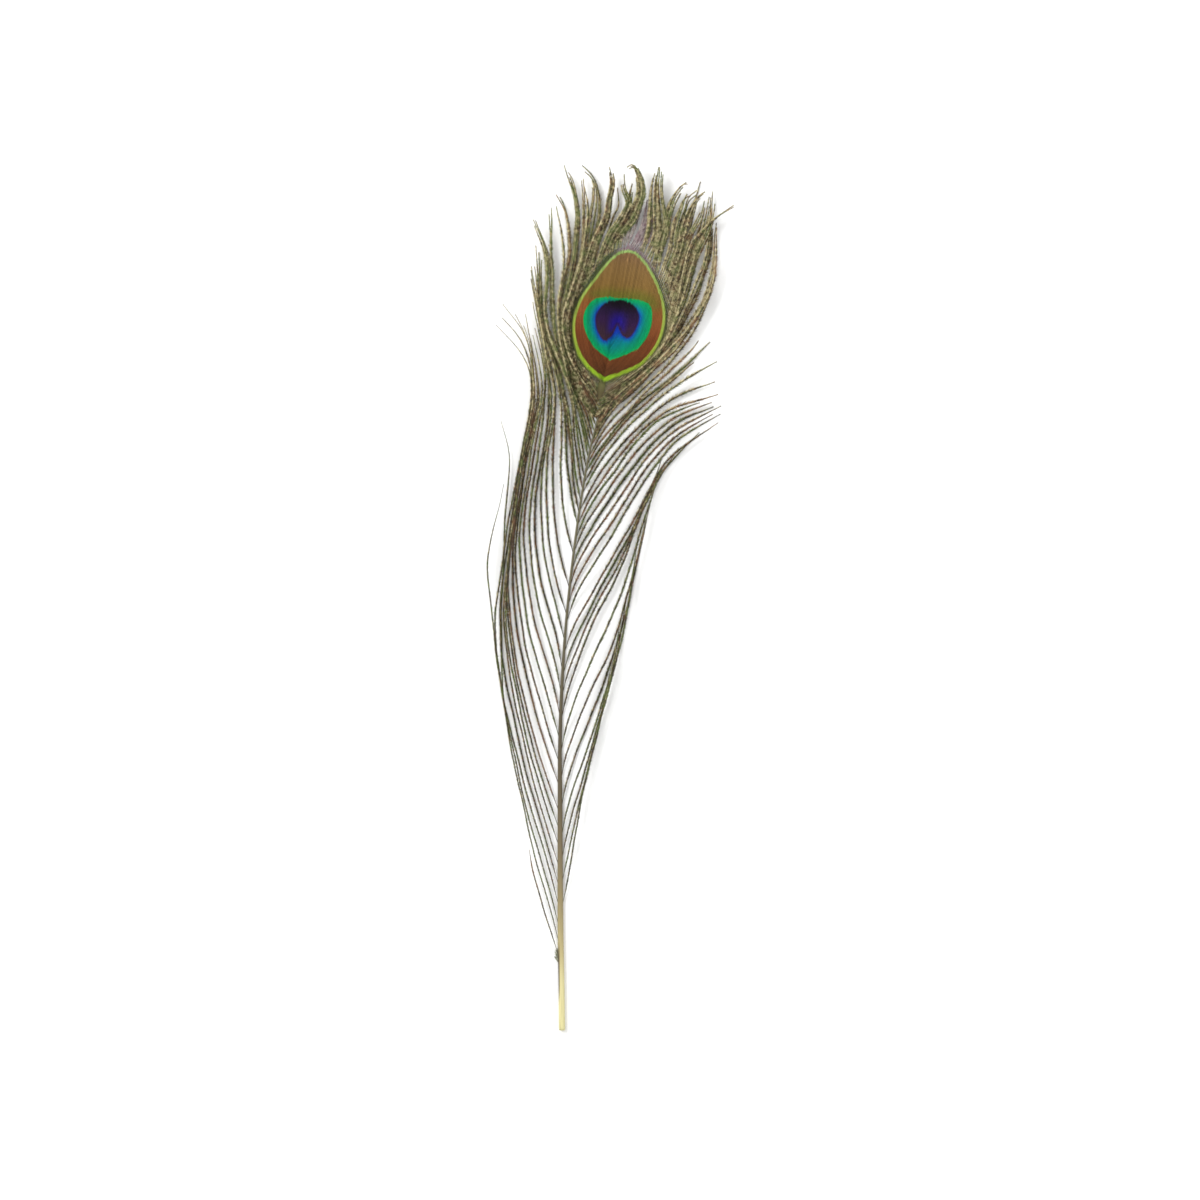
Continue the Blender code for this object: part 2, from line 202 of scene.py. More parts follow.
# The fringe: the eye's barbs, side by side from the outermost on the left to the
# outermost on the right, and the lock that each group of them ends in. A lock has its
# side, how many barbs it takes, its width near the tip, how high it rises and the points
# that its middle passes.
FRINGE = (
    (-1, 3, 1.0, 2.0, ((4.5, 267.0), (5.0, 272.5), (5.5, 281.0), (5.0, 287.5), (3.5, 293.0),
                       (1.5, 298.0))),
    (-1, 2, 0.8, 3.0, ((7.0, 267.0), (7.5, 272.5), (7.5, 281.0), (7.5, 287.5), (7.0, 294.5))),
    (-1, 3, 1.2, 2.5, ((8.5, 272.5), (10.0, 280.5), (11.0, 286.5), (11.0, 291.5), (9.5, 295.5),
                       (6.5, 298.5))),
    (-1, 8, 1.2, 3.5, ((12.0, 272.5), (15.5, 281.0), (16.5, 287.5), (17.5, 293.0), (16.5, 299.5))),
    (-1, 1, 0.3, 1.5, ((15.0, 273.0), (17.5, 280.5), (19.5, 285.0), (19.0, 290.0))),
    (-1, 6, 1.4, 4.5, ((17.0, 274.5), (21.0, 281.0), (22.8, 286.5), (21.2, 291.0), (21.0, 296.5))),
    (-1, 3, 1.0, 3.0, ((20.0, 276.5), (23.0, 284.0), (24.0, 290.0), (25.0, 294.5))),
    (-1, 9, 1.9, 5.5, ((19.5, 275.0), (23.2, 280.0), (25.2, 284.5), (27.0, 289.0), (26.5, 294.5),
                       (24.5, 298.4), (22.3, 297.0))),
    (-1, 7, 5.0, 1.2, ((25.5, 277.0), (27.5, 283.0), (29.0, 288.0))),
    (1, 6, 5.0, 1.2, ((28.5, 276.0), (30.0, 282.0), (30.5, 288.0))),
    (1, 12, 4.0, 4.0, ((32.3, 275.0), (32.5, 281.5), (32.2, 290.0), (33.2, 298.5))),
    (1, 5, 1.6, 3.0, ((34.5, 273.0), (35.5, 276.5), (37.0, 283.0), (39.0, 288.0), (42.0, 292.0),
                      (44.5, 294.0))),
    (1, 5, 1.8, 2.5, ((38.5, 269.5), (39.0, 274.0), (40.0, 279.5), (41.5, 284.0), (43.0, 288.0),
                      (46.5, 291.0))),
    (1, 4, 1.6, 3.5, ((40.5, 270.0), (42.0, 276.5), (44.0, 283.0), (47.0, 287.5), (51.5, 291.0))),
    (1, 3, 1.6, 2.5, ((42.5, 270.0), (45.0, 276.0), (47.5, 281.0), (49.5, 287.5))),
    (1, 4, 1.8, 4.0, ((44.0, 263.5), (47.0, 270.0), (50.0, 276.5), (52.0, 283.0), (52.5, 288.5))),
    (1, 2, 0.8, 5.0, ((45.0, 271.0), (48.0, 275.5), (52.5, 280.0), (59.0, 285.0))),
)
OUTER_SHARE = 1.24
FRINGE_POINTS = 130
FLOW_POINTS = 9
LOCKS_FROM = 21.0  # how far up the eye its middle barbs part into locks
LOCKS_LOWER_BY = 13.0  # at share 1
LOCKS_LOWEST_AT = 1.2  # the share past which they part no lower
LOCK_CLEARANCE = 4.0
LOCK_FOOT_WIDTH = 1.9  # in lock widths, as is the next
LOCK_NARROWING = 1.15
LOCK_ROUNDING = 3.0
LOCK_SCATTER = 0.08
STRAY_ACROSS = 0.12
STRAY_UP = 0.5
LIFT_SCATTER = 0.4
FRINGE_KEPT = (0.9, 1.0)  # the share of its route that a barb keeps, in locks of more than two
FRINGE_TIP_RADIUS = 0.05
FRINGE_FOOT_THICKER = 0.07
FRINGE_HUES = (0.2, 1.0)
INTO_WEB = 3  # how many points of its route a stem runs on into the web
FEWEST_POINTS = 8
HAZY_LOCKS = (8, 9)  # pale fine barbs in the wedge at the tip

# The web, where the eye's barbs lie edge to edge in strips. What opens or closes along
# a barb does so over a number of its points.
WEB_MARGIN = ((-30.0, 1.6), (-10.0, 1.4), (10.0, 1.8), (24.0, 2.6))  # outside the ring, by height
WEB_TOP = 26.0
WEB_LEAST = 8
WEB_HEIGHT = 1.15
WEB_DOME = 0.6
WEB_DOME_REACH = 17.0
WEB_REACH = (0.02, 0.5)
OUTER_REACH = 0.3
STRIP_OVERLAP = 1.08
STRIP_CORNERS = (0.02, 0.16, 0.05, -0.04)  # heights of the left edge, ridge, right edge and underside
# Painted shade at the same corners: a strip's edges and underside are darker than its ridge, where the
# strips meet.
STRIP_PAINTED_SHADE = (-0.45, 0.0, -0.2, -0.45)
STRIP_TONES = (0.2, 1.0)
STRIP_TIP_WIDTH = 0.25
STRIP_CLOSES_OVER = 8.0
STRIP_OPENS_OVER = 5.0
STRIP_OPENS_AT_SHAFT = 2.0
TONE_SCATTER = 0.06
STRIP_EDGE_SCATTER = 0.13
BARBULE_EDGE_SCATTER = 0.18
WEB_STEM_RADIUS = 0.055
WEB_STEM_UP = 0.14
WEB_FULLNESS = (0.15, 1.4)
WEB_FULL_REACH = 0.24
WEB_BARBULES_GROW_OVER = 6.0
COVER_POINTS = 60
COVER_REACH = ((-30.0, 0.3), (-26.0, 1.2), (-22.5, 1.0), (-18.0, 0.6), (-4.0, 0.4))  # by height
COVER_SINK = 0.14
COVER_FOOT_HEIGHT = 0.3
COVER_RISES_OVER = 9.0


def place(x, y, z):
    """A point in metres, from millimetres across, up the feather and above the surface."""
    return ((x * MM), (y - REST_POINT) * MM, z * MM)


def smooth_step(share):
    share = np.clip(share, 0.0, 1.0)
    return share * share * (3.0 - 2.0 * share)


def rising(low, share):
    """From low to 1, smoothly, as the share goes from 0 to 1."""
    return low + (1.0 - low) * smooth_step(share)


def between(table, where):
    """Read a value from (place, value) pairs, on the straight line between the nearest two."""
    places, values = zip(*table)
    return np.interp(where, places, values)


def smooth_route(points, steps=12):
    """A centripetal Catmull-Rom curve through the points, which never loops or overshoots."""
    points = [Vector(point) for point in points]
    points = [2 * points[0] - points[1], *points, 2 * points[-1] - points[-2]]
    route = []
    for p0, p1, p2, p3 in zip(points, points[1:], points[2:], points[3:]):
        t1 = (p1 - p0).length ** 0.5
        t2 = t1 + (p2 - p1).length ** 0.5
        t3 = t2 + (p3 - p2).length ** 0.5
        for step in range(steps):
            t = t1 + (t2 - t1) * step / steps
            a1 = p0.lerp(p1, t / t1)
            a2 = p1.lerp(p2, (t - t1) / (t2 - t1))
            a3 = p2.lerp(p3, (t - t2) / (t3 - t2))
            b1 = a1.lerp(a2, t / t2)
            b2 = a2.lerp(a3, (t - t1) / (t3 - t1))
            route.append(b1.lerp(b2, (t - t1) / (t2 - t1)))
    route.append(points[-2])
    return np.array([tuple(point) for point in route])


def evenly_spaced(route, count):
    """The route's points again, the same distance apart along it."""
    lengths = np.concatenate([[0.0], np.cumsum(np.linalg.norm(np.diff(route, axis=0), axis=1))])
    wanted = np.linspace(0.0, lengths[-1], count)
    return np.stack([np.interp(wanted, lengths, column) for column in route.T], axis=1)


def route_length(route):
    return np.linalg.norm(np.diff(route, axis=0), axis=1).sum()


SHAFT_LINE = smooth_route(SHAFT_ROUTE)


def shaft_side(distance):
    """Where the middle of the shaft is, across, at a distance up the feather."""
    return np.interp(distance, SHAFT_LINE[:, 1], SHAFT_LINE[:, 0])


def guide_route(guide, side):
    """A guide's whole route, from inside the shaft to its tip."""
    distance, points = guide
    inside = between(SHAFT_WIDTHS, distance) * 0.3
    root = (shaft_side(distance) + side * inside, distance)
    return evenly_spaced(smooth_route((root, *points)), ROUTE_POINTS)


def barb_route(distance, guides, side, gather=0.0):
    """A barb's route, blended from the guides on either side of its root.

    gather is the share of the way that it swings over to the nearer guide as it goes up.
    """
    for lower, upper in zip(guides, guides[1:]):
        if lower[0] <= distance <= upper[0]:
            share = (distance - lower[0]) / (upper[0] - lower[0])
            along = smooth_step(np.linspace(0.0, 1.0, ROUTE_POINTS) / GATHERED_BY)
            nearer = 0.0 if share < 0.5 else 1.0
            share = (share + (nearer - share) * gather * along)[:, None]
            return guide_route(lower, side) * (1.0 - share) + guide_route(upper, side) * share
    raise ValueError(f"no guides on either side of {distance}")


# ---------------------------------------------------------------- materials

def linear(hex_colour):
    """An sRGB hex colour as the linear one that shaders take."""
    channels = [int(hex_colour[i:i + 2], 16) / 255 for i in (1, 3, 5)]
    return (*[c / 12.92 if c <= 0.04045 else ((c + 0.055) / 1.055) ** 2.4 for c in channels], 1.0)


def add_node(tree, kind, inputs=None, stops=(), **settings):
    """Add a node with its settings.

    inputs holds a value or another node's output for each socket, and stops the places
    from 0 to 1 and the hex colours of a colour ramp.
    """
    node = tree.nodes.new(kind)
    for name, value in settings.items():
        setattr(node, name, value)
    for key, value in (inputs or {}).items():
        if isinstance(value, bpy.types.NodeSocket):
            tree.links.new(value, node.inputs[key])
        else:
            node.inputs[key].default_value = value
    for number, (position, colour) in enumerate(stops):
        elements = node.color_ramp.elements
        stop = elements[number] if number < len(elements) else elements.new(position)
        stop.position = position
        stop.color = linear(colour)
    return node


def new_material(name):
    material = bpy.data.materials.new(name)
    material.use_nodes = True
    tree = material.node_tree
    return material, tree, tree.nodes["Principled BSDF"]


# How large the patterns in the horn and the herls are.
HORN_FIBRE_WIDTH = 0.17
HORN_FIBRE_LENGTH = 8.0
HERL_CLUMP = 1.0
HERL_DRIFT = 2.8


def shaft_horn():
    """Keratin, grown smooth: waxy and a little see-through, cream where bare, brown where barbs grow."""
    material, tree, shader = new_material("shaft_horn")
    place_now = add_node(tree, "ShaderNodeTexCoord").outputs["Object"]
    parts = add_node(tree, "ShaderNodeSeparateXYZ", {0: place_now})
    fine, long = 1.0 / (HORN_FIBRE_WIDTH * MM), 1.0 / (HORN_FIBRE_LENGTH * MM)
    grain = add_node(tree, "ShaderNodeMapping", {0: place_now, "Scale": (fine, long, fine)})
    fibres = add_node(tree, "ShaderNodeTexNoise", {"Vector": grain.outputs[0], "Scale": 1.0, "Detail": 3.0})
    wander = add_node(tree, "ShaderNodeMath", {0: fibres.outputs["Fac"], 1: 0.012, 2: -0.006},
                      operation="MULTIPLY_ADD")
    height = add_node(tree, "ShaderNodeMath", {0: parts.outputs["Y"], 1: wander.outputs[0]}, operation="ADD")
    up = add_node(tree, "ShaderNodeMapRange", {0: height.outputs[0], 1: -0.012, 2: 0.230})
    colour = add_node(tree, "ShaderNodeValToRGB", {0: up.outputs[0]}, stops=(
        (0.0, "#D8D096"), (0.07, "#D8CE96"), (0.11, "#BAAC78"), (0.18, "#92835A"), (0.25, "#746648"),
        (0.33, "#584C32"), (0.42, "#4C422A"), (0.70, "#5E583C"), (1.0, "#565232"),
    ))
    # A dark line of painted shade runs down the left edge of the quill, low on the shaft.
    painted_edge_shade = add_node(tree, "ShaderNodeMapRange",
                        {0: parts.outputs["X"], 1: -0.00070, 2: -0.00100}).outputs[0]
    for start, whole in ((-0.003, 0.002), (0.019, 0.014)):
        part_way = add_node(tree, "ShaderNodeMapRange",
                            {0: height.outputs[0], 1: start, 2: whole}).outputs[0]
        painted_edge_shade = add_node(tree, "ShaderNodeMath", {0: painted_edge_shade, 1: part_way},
                            operation="MULTIPLY").outputs[0]
    colour = add_node(tree, "ShaderNodeMix", {0: painted_edge_shade, 6: colour.outputs[0], 7: linear("#54482E")},
                      data_type="RGBA").outputs[2]
    tone_and_painted_shade = add_node(tree, "ShaderNodeValToRGB", {0: fibres.outputs["Fac"]}, stops=(
        (0.3, "#C4C4C4"), (0.6, "#FFFFFF"),
    ))
    mixed = add_node(tree, "ShaderNodeMix", {0: 0.6, 6: colour, 7: tone_and_painted_shade.outputs[0]},
                     data_type="RGBA", blend_type="MULTIPLY")
    tree.links.new(mixed.outputs[2], shader.inputs["Base Color"])
    bump = add_node(tree, "ShaderNodeBump", {"Height": fibres.outputs["Fac"], "Distance": 0.00004,
                                             "Strength": 0.6})
    tree.links.new(bump.outputs[0], shader.inputs["Normal"])
    shader.inputs["Roughness"].default_value = 0.38
    shader.inputs["IOR"].default_value = 1.55
    return material


def herl_fluff(name, dark, middle, light, glint, blush):
    """Barbules of a loose barb: matt keratin with green and copper glints painted into its colour, and one
    row of barbules painted lighter than the other as light and shade.
    """
    material, tree, shader = new_material(name)
    place_now = add_node(tree, "ShaderNodeTexCoord").outputs["Object"]
    own = {key: add_node(tree, "ShaderNodeAttribute", attribute_name=key).outputs["Fac"]
           for key in ("tint", "side", "hue")}
    # Barbules in a clump share a shade. One row is painted lighter than the other: painted light and shade,
    # as if the light came from one side.
    clumps = add_node(tree, "ShaderNodeTexNoise",
                      {"Vector": place_now, "Scale": 1.0 / (HERL_CLUMP * MM), "Detail": 2.0})
    shade = add_node(tree, "ShaderNodeMath", {0: clumps.outputs["Fac"], 1: 1.9, 2: -0.82},
                     operation="MULTIPLY_ADD").outputs[0]
    for key, weight in (("tint", 0.26), ("side", 0.52)):
        shade = add_node(tree, "ShaderNodeMath", {0: own[key], 1: weight, 2: shade},
                         operation="MULTIPLY_ADD").outputs[0]
    # The loose barbs are darker than the ones round the eye.
    up = add_node(tree, "ShaderNodeSeparateXYZ", {0: place_now}).outputs["Y"]
    lower = add_node(tree, "ShaderNodeMapRange", {0: up, 1: 0.225, 2: 0.180, 3: 0.0, 4: 0.38}).outputs[0]
    shade = add_node(tree, "ShaderNodeMath", {0: shade, 1: lower}, operation="SUBTRACT").outputs[0]
    colour = add_node(tree, "ShaderNodeValToRGB", {0: shade},
                      stops=((0.12, dark), (0.45, middle), (0.95, light))).outputs[0]
    # Painted glints: green and copper, the herl's own sheen colours, come and go over a few millimetres of a
    # barb where noise puts them.
    drift = add_node(tree, "ShaderNodeTexNoise",
                     {"Vector": place_now, "Scale": 1.0 / (HERL_DRIFT * MM), "Detail": 2.0})
    drift = add_node(tree, "ShaderNodeMath", {0: own["hue"], 1: 0.3, 2: drift.outputs["Fac"]},
                     operation="MULTIPLY_ADD").outputs[0]
    for tone, start, full, most in ((glint, 0.64, 0.86, 0.5), (blush, 0.58, 0.42, 0.4)):
        share = add_node(tree, "ShaderNodeMapRange", {0: drift, 1: start, 2: full, 4: most}).outputs[0]
        colour = add_node(tree, "ShaderNodeMix", {0: share, 6: colour, 7: linear(tone)},
                          data_type="RGBA").outputs[2]
    tree.links.new(colour, shader.inputs["Base Color"])
    shader.inputs["Roughness"].default_value = 0.6
    shader.inputs["IOR"].default_value = 1.5
    shader.inputs["Specular IOR Level"].default_value = 0.25
    return material


# The eye's colours: what each is read along, from where to where, and its colours on the way.
# Depths are from the zone's edge inward, "up" is from the eye's middle, all in millimetres.
EYE_COLOURS = {
    # Red-brown below the centre, orange-brown beside it and bronze above.
    "bronze": ("up", -23.0, 23.0, (
        (0.0, "#5A381E"), (0.15, "#704020"), (0.34, "#824824"), (0.48, "#96582E"), (0.60, "#92602E"),
        (0.72, "#8E6E38"), (0.88, "#907042"), (1.0, "#8E6C4C"),
    )),
    # A bright green rim, then emerald, then a little bluer.
    "green": ("teal", 0.0, 5.0, (
        (0.0, "#2E8A3C"), (0.05, "#00AE5E"), (0.25, "#009E68"), (0.5, "#009478"), (1.0, "#008692"),
    )),
    "blue": ("heart", -3.2, 0.0, (
        (0.0, "#0090A0"), (0.5, "#0080A8"), (0.85, "#0664AC"), (1.0, "#143CAC"),
    )),
    # Nearly black at its top, violet in the middle, dark wine in its two lobes.
    "violet": ("up", -9.5, 5.4, (
        (0.0, "#402A32"), (0.3, "#3A2438"), (0.5, "#341A44"), (0.72, "#261438"), (0.88, "#180C20"),
        (1.0, "#0E080E"),
    )),
    "lime": ("up", -23.0, 23.0, (
        (0.0, "#98C028"), (0.3, "#AABE48"), (0.7, "#A8BE5C"), (1.0, "#A4C472"),
    )),
    # Green fuzz at the foot, dull olive at the sides, pinkish grey at the top.
    "outer": ("up", -30.0, 26.0, (
        (0.0, "#5C5236"), (0.06, "#645C3E"), (0.11, "#6C6C42"), (0.22, "#6A7040"), (0.5, "#565A38"),
        (0.80, "#55573A"), (0.90, "#8A7270"), (1.0, "#98828A"),
    )),
    # Multiplied over all: each barb's own tone, with painted shade along the edges of its strip.
    "shade": ("tone_and_painted_shade", 0.0, 1.0, ((0.0, "#747474"), (0.5, "#D8D8D8"), (1.0, "#FFFFFF"))),
}

# Where each layer of colour begins and is whole.
EYE_EDGES = {
    "near_teal": ("teal", -5.0, -0.6),
    "above": ("up", 3.0, 7.0),
    "in_teal": ("teal", -0.15, 0.15),
    "near_heart": ("heart", -2.4, -0.2),
    "below": ("up", 6.2, 1.5),
    "in_heart": ("heart", -0.3, 0.35),
    "in_notch": ("up", -9.5, -4.5),
    "well_in": ("heart", 0.0, 1.8),
    "high": ("up", -8.0, -4.0),
    "low": ("up", 3.0, -3.0),
    "outside": ("ring", 0.1, -0.6),
    "to_left": ("across", -2.0, -6.0),
    "upper": ("up", 4.0, 10.0),
}
LIME_WIDTH_FOOT = 1.0
LIME_WIDTH = 0.6
INDIGO_AT = 0.6
INDIGO_REACH = 4.4


def eye_web():
    """Hooked barbules of the eye: flat ribs of keratin that reflect one clear colour in each zone.

    The ribs act like a thin coloured foil, so the web is partly metallic and silky.
    """
    material, tree, shader = new_material("eye_web")
    own = {key: add_node(tree, "ShaderNodeAttribute", attribute_name=key).outputs["Fac"]
           for key in ("ring", "teal", "heart", "up", "across", "tone_and_painted_shade")}
    colours = {}
    for name, (key, low, high, stops) in EYE_COLOURS.items():
        spread = add_node(tree, "ShaderNodeMapRange", {0: own[key], 1: low, 2: high}).outputs[0]
        colours[name] = add_node(tree, "ShaderNodeValToRGB", {0: spread}, stops=stops).outputs[0]
    shares = {}
    for name, (key, low, high) in EYE_EDGES.items():
        shares[name] = add_node(tree, "ShaderNodeMapRange", {0: own[key], 1: low, 2: high},
                                interpolation_type="SMOOTHSTEP").outputs[0]

    # The lime ring follows the edge and is widest at the foot.
    width = add_node(tree, "ShaderNodeMapRange",
                     {0: own["up"], 1: -23.0, 2: -6.0, 3: LIME_WIDTH_FOOT, 4: LIME_WIDTH}).outputs[0]
    inside = add_node(tree, "ShaderNodeMath", {0: own["ring"], 1: width}, operation="SUBTRACT").outputs[0]
    shares["in_ring"] = add_node(tree, "ShaderNodeMapRange", {0: inside, 1: 0.25, 2: -0.15},
                                 interpolation_type="SMOOTHSTEP").outputs[0]
    # Indigo shows in the middle of the heart, a little to the right of the axis.
    centre = add_node(tree, "ShaderNodeMath", {0: own["across"], 1: INDIGO_AT}, operation="SUBTRACT")
    centre = add_node(tree, "ShaderNodeMath", {0: centre.outputs[0]}, operation="ABSOLUTE").outputs[0]
    shares["central"] = add_node(tree, "ShaderNodeMapRange", {0: centre, 1: INDIGO_REACH, 2: 0.0},
                                 interpolation_type="SMOOTHSTEP").outputs[0]

    colour = colours["bronze"]
    for layer, over in (
        (("near_teal", "above"), linear("#74702A")),
        (("in_teal",), colours["green"]),
        (("near_heart", "below"), colours["blue"]),
        (("central", "in_teal", "in_notch", "below"), linear("#143CB8")),
        (("in_heart",), colours["violet"]),
        (("central", "well_in", "high", "low"), linear("#24169A")),
        (("in_ring",), colours["lime"]),
        (("outside",), colours["outer"]),
        (("outside", "to_left", "upper"), linear("#56603C")),
    ):
        share = shares[layer[0]]
        for name in layer[1:]:
            share = add_node(tree, "ShaderNodeMath", {0: share, 1: shares[name]},
                             operation="MULTIPLY").outputs[0]
        colour = add_node(tree, "ShaderNodeMix", {0: share, 6: colour, 7: over},
                          data_type="RGBA").outputs[2]
    # Each barb is a little lighter or darker than the next and is streaked along, with painted shade on the
    # edges of its strip where the strips meet.
    colour = add_node(tree, "ShaderNodeMix", {0: 0.85, 6: colour, 7: colours["shade"]}, data_type="RGBA",
                      blend_type="MULTIPLY").outputs[2]
    tree.links.new(colour, shader.inputs["Base Color"])
    shader.inputs["Metallic"].default_value = 0.45
    shader.inputs["Roughness"].default_value = 0.48
    shader.inputs["IOR"].default_value = 1.5
    shader.inputs["Specular IOR Level"].default_value = 0.15
    return material


# ---------------------------------------------------------------- barbules by Geometry Nodes

def barbule_tree():
    """A tree that turns each chain of edges into a stem with a row of barbules down either side."""
    tree = bpy.data.node_groups.new("barbules", "GeometryNodeTree")
    tree.interface.new_socket("Geometry", in_out="INPUT", socket_type="NodeSocketGeometry")
    sizes = (("Spacing", 0.25), ("Length", 1.25), ("Width", 0.36), ("Thickness", 0.08))
    for name, size in sizes:
        socket = tree.interface.new_socket(name, in_out="INPUT", socket_type="NodeSocketFloat")
        socket.default_value = size * MM
    for name, angle in (("Lean", 48.0), ("Rise", 28.0)):
        socket = tree.interface.new_socket(name, in_out="INPUT", socket_type="NodeSocketFloat")
        socket.default_value = math.radians(angle)
    tree.interface.new_socket("Seed", in_out="INPUT", socket_type="NodeSocketInt")
    tree.interface.new_socket("Material", in_out="INPUT", socket_type="NodeSocketMaterial")
    tree.interface.new_socket("Geometry", in_out="OUTPUT", socket_type="NodeSocketGeometry")

    given = add_node(tree, "NodeGroupInput").outputs
    curve = add_node(tree, "GeometryNodeMeshToCurve", {0: given["Geometry"]}).outputs[0]
    thickness = add_node(tree, "GeometryNodeInputNamedAttribute", {"Name": "thickness"}, data_type="FLOAT")
    profile = add_node(tree, "GeometryNodeCurvePrimitiveCircle", {"Resolution": 5, "Radius": 1.0})
    stem = add_node(tree, "GeometryNodeCurveToMesh",
                    {"Curve": curve, "Profile Curve": profile.outputs[0], "Scale": thickness.outputs[0],
                     "Fill Caps": True}).outputs[0]
    for name in ("tint", "side"):
        stem = add_node(tree, "GeometryNodeStoreNamedAttribute",
                        {"Geometry": stem, "Name": name, "Value": 0.3}, data_type="FLOAT").outputs[0]

    points = add_node(tree, "GeometryNodeCurveToPoints", {"Curve": curve, "Length": given["Spacing"]},
                      mode="LENGTH")
    along = points.outputs["Tangent"]
    fluff = add_node(tree, "GeometryNodeInputNamedAttribute", {"Name": "fluff"},
                     data_type="FLOAT").outputs[0]
    needle = add_node(tree, "GeometryNodeMeshCone",
                      {"Vertices": 3, "Radius Top": 0.0, "Radius Bottom": 0.55, "Depth": 1.0}).outputs[0]
    across = add_node(tree, "ShaderNodeVectorMath", {0: along, 1: (0.0, 0.0, 1.0)},
                      operation="CROSS_PRODUCT")
    across = add_node(tree, "ShaderNodeVectorMath", {0: across.outputs[0]},
                      operation="NORMALIZE").outputs[0]
    rise_cos = add_node(tree, "ShaderNodeMath", {0: given["Rise"]}, operation="COSINE").outputs[0]
    rise_sin = add_node(tree, "ShaderNodeMath", {0: given["Rise"]}, operation="SINE").outputs[0]
    lift = add_node(tree, "ShaderNodeCombineXYZ", {2: rise_sin}).outputs[0]

    joined = add_node(tree, "GeometryNodeJoinGeometry", {0: stem})
    # Row 0 is to the right of the way the barb runs and row 1 to its left.
    for row, direction in enumerate((1.0, -1.0)):
        chances = {}
        for number, (name, low, high) in enumerate((("lean", -0.22, 0.22), ("reach", 0.7, 1.15),
                                                    ("tint", 0.0, 1.0))):
            seed = add_node(tree, "ShaderNodeMath", {0: given["Seed"], 1: 10.0 * row + number + 1.0},
                            operation="ADD").outputs[0]
            chances[name] = add_node(tree, "FunctionNodeRandomValue", {2: low, 3: high, "Seed": seed},
                                     data_type="FLOAT").outputs[1]
        spread = add_node(tree, "ShaderNodeMath", {0: rise_cos, 1: direction},
                          operation="MULTIPLY").outputs[0]
        out = add_node(tree, "ShaderNodeVectorMath", {0: across, "Scale": spread}, operation="SCALE")
        out = add_node(tree, "ShaderNodeVectorMath", {0: out.outputs[0], 1: lift},
                       operation="ADD").outputs[0]
        lean = add_node(tree, "ShaderNodeMath", {0: given["Lean"], 1: chances["lean"]},
                        operation="ADD").outputs[0]
        lean_cos = add_node(tree, "ShaderNodeMath", {0: lean}, operation="COSINE").outputs[0]
        lean_sin = add_node(tree, "ShaderNodeMath", {0: lean}, operation="SINE").outputs[0]
        ahead = add_node(tree, "ShaderNodeVectorMath", {0: along, "Scale": lean_cos}, operation="SCALE")
        aside = add_node(tree, "ShaderNodeVectorMath", {0: out, "Scale": lean_sin}, operation="SCALE")
        way = add_node(tree, "ShaderNodeVectorMath", {0: ahead.outputs[0], 1: aside.outputs[0]},
                       operation="ADD").outputs[0]
        turn = add_node(tree, "FunctionNodeAxesToRotation", {0: way, 1: along},
                        primary_axis="Z", secondary_axis="X").outputs[0]
        reach = add_node(tree, "ShaderNodeMath", {0: given["Length"], 1: fluff}, operation="MULTIPLY")
        reach = add_node(tree, "ShaderNodeMath", {0: reach.outputs[0], 1: chances["reach"]},
                         operation="MULTIPLY").outputs[0]
        size = add_node(tree, "ShaderNodeCombineXYZ", {0: given["Width"], 1: given["Thickness"], 2: reach})
        row_of = add_node(tree, "GeometryNodeInstanceOnPoints",
                          {"Points": points.outputs["Points"], "Instance": needle, "Rotation": turn,
                           "Scale": size.outputs[0]}).outputs[0]
        # The row number, kept as side, makes one row lighter in the material: painted light and shade.
        for name, value in (("tint", chances["tint"]), ("side", float(row))):
            row_of = add_node(tree, "GeometryNodeStoreNamedAttribute",
                              {"Geometry": row_of, "Name": name, "Value": value},
                              data_type="FLOAT", domain="INSTANCE").outputs[0]
        tree.links.new(row_of, joined.inputs[0])

    real = add_node(tree, "GeometryNodeRealizeInstances", {0: joined.outputs[0]}).outputs[0]
    done = add_node(tree, "GeometryNodeSetMaterial", {"Geometry": real, "Material": given["Material"]})
    add_node(tree, "NodeGroupOutput", {"Geometry": done.outputs[0]})
    return tree


BARBULES = barbule_tree()


def new_object(name, mesh):
    made = bpy.data.objects.new(name, mesh)
    bpy.context.scene.collection.objects.link(made)
    return made


def write_values(mesh, name, values):
    mesh.attributes.new(name, "FLOAT", "POINT").data.foreach_set("value", np.asarray(values, np.float32))


def grow_herls(name, herls, material, seed, **sizes):
    """A mesh of whole barbs, each given as points in metres, stem radii, barbule shares and a hue."""
    points = np.concatenate([herl[0] for herl in herls])
    edges = []
    start = 0
    for herl in herls:
        count = len(herl[0])
        edges += [(start + i, start + i + 1) for i in range(count - 1)]
        start += count
    lines = bpy.data.meshes.new(name + "_lines")
    lines.from_pydata(points.tolist(), edges, [])
    write_values(lines, "thickness", np.concatenate([herl[1] for herl in herls]))
    write_values(lines, "fluff", np.concatenate([herl[2] for herl in herls]))
    write_values(lines, "hue", np.concatenate([np.full(len(herl[0]), herl[3]) for herl in herls]))

    grower = new_object(name + "_grower", lines)
    modifier = grower.modifiers.new("barbules", "NODES")
    modifier.node_group = BARBULES
    sockets = {item.name: item.identifier for item in BARBULES.interface.items_tree
               if item.item_type == "SOCKET" and item.in_out == "INPUT"}
    modifier[sockets["Seed"]] = seed
    modifier[sockets["Material"]] = material
    for size, value in sizes.items():
        modifier[sockets[size.capitalize()]] = value
    bpy.context.view_layer.update()
    evaluated = grower.evaluated_get(bpy.context.evaluated_depsgraph_get())
    mesh = bpy.data.meshes.new_from_object(evaluated)
    mesh.name = name
    bpy.data.objects.remove(grower)
    bpy.data.meshes.remove(lines)
    lay_out_faces(mesh)
    return new_object(name, mesh)


